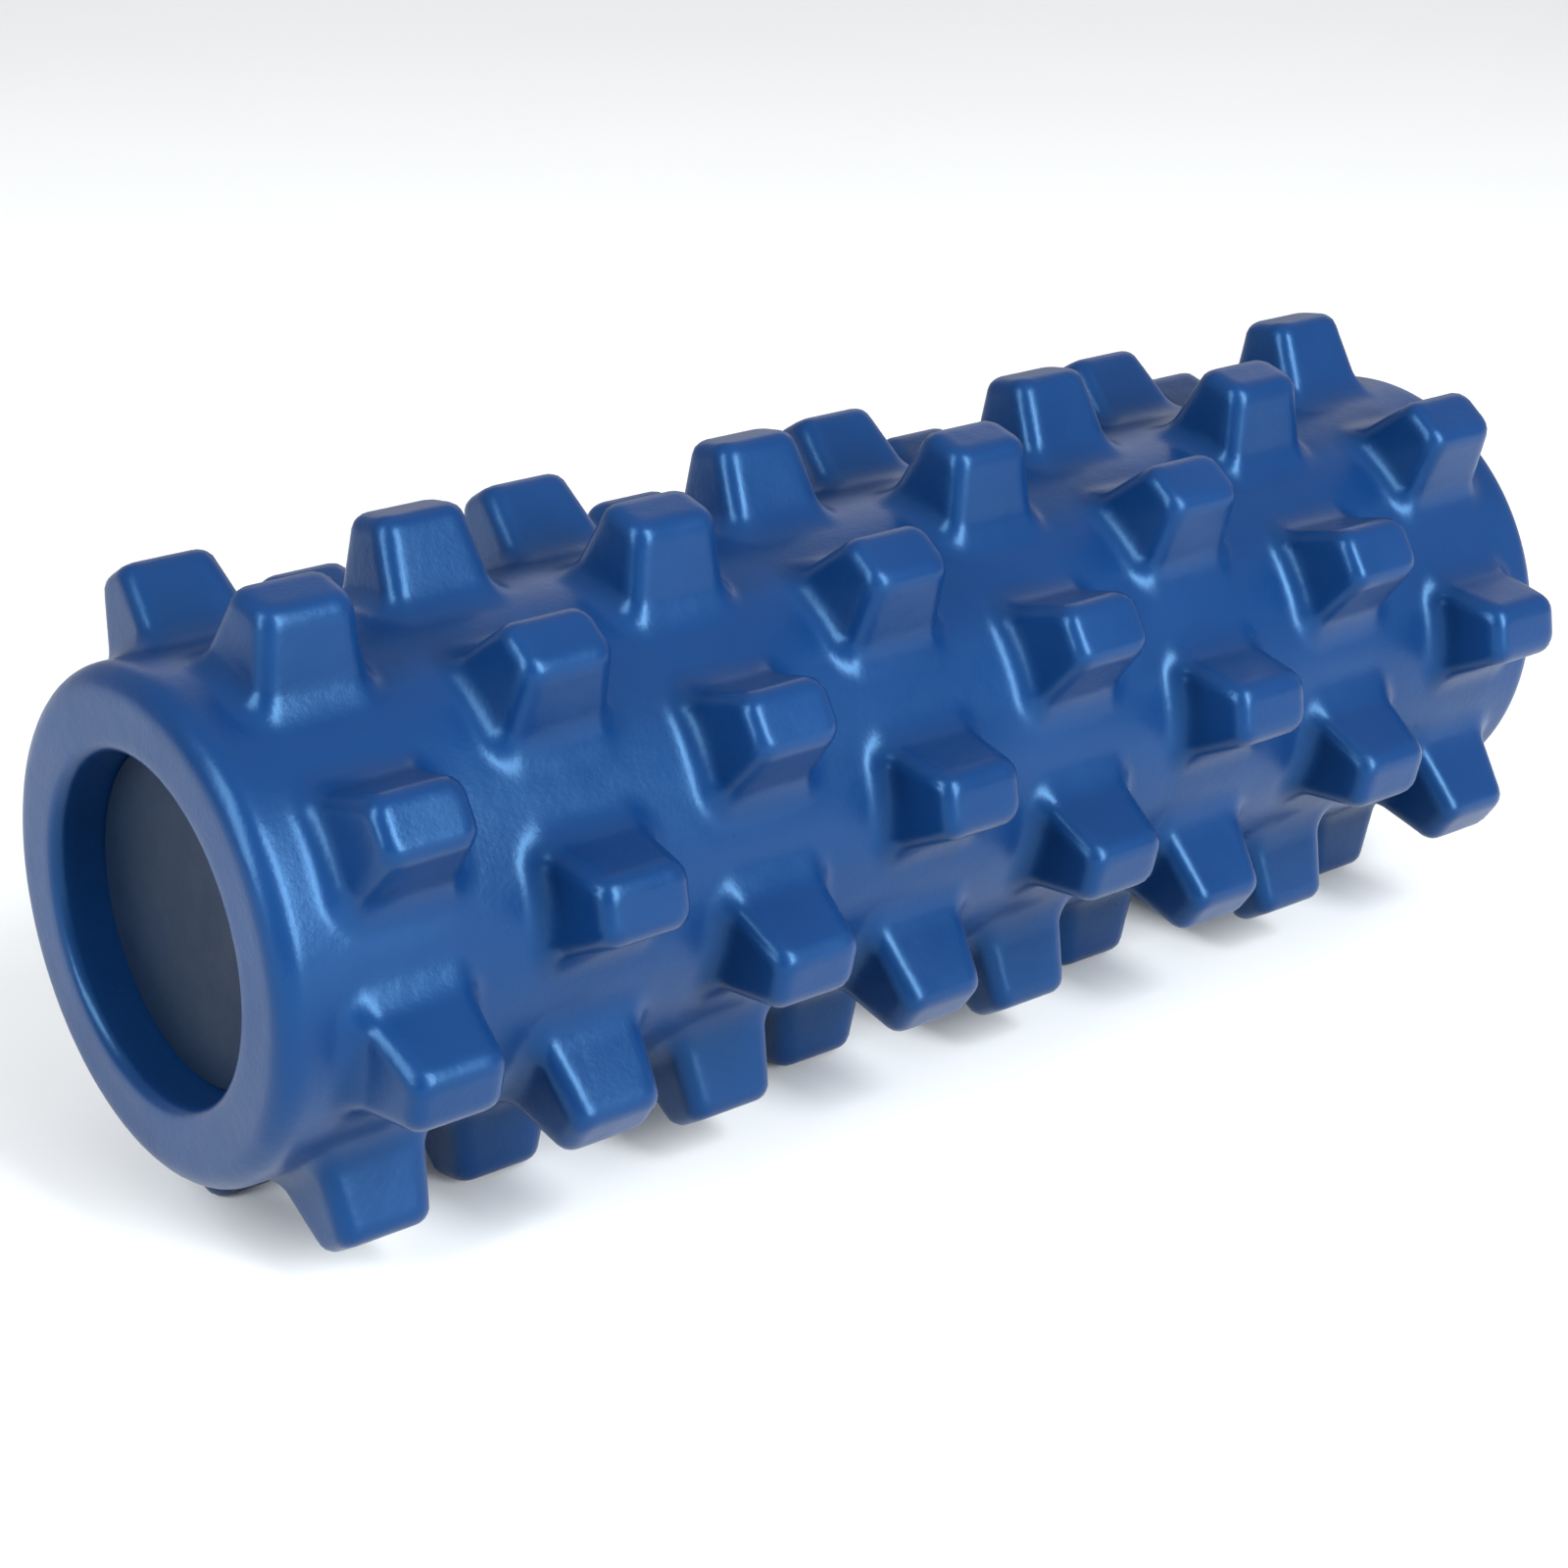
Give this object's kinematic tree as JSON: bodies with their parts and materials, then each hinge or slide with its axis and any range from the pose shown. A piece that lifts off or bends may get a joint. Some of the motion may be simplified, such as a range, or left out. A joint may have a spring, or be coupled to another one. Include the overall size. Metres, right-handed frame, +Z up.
{
  "type": "knobbed foam roller",
  "caption": "Short massage roller with staggered rows of blunt knobs moulded on a foam sleeve over a rigid tube, closed by a flat plug recessed in each end.",
  "frame": {"origin": "middle of the roller's axis, which is the centre of its bounding box", "axes": "X along the roller's axis, +Z up from the floor it lies on, Y across; it rests on two neighbouring rows of knobs, one each side of -Z"},
  "size_m": [0.318, 0.1268, 0.1268],
  "materials": {
    "foam": "moulded closed-cell foam with a satin skin",
    "core": "extruded, matt",
    "plug": "fine-grained, matt"
  },
  "bodies": {
    "root": {"foam_sleeve": "foam", "core_tube": "core", "end_plug_left": "plug", "end_plug_right": "plug"}
  },
  "joints": []
}
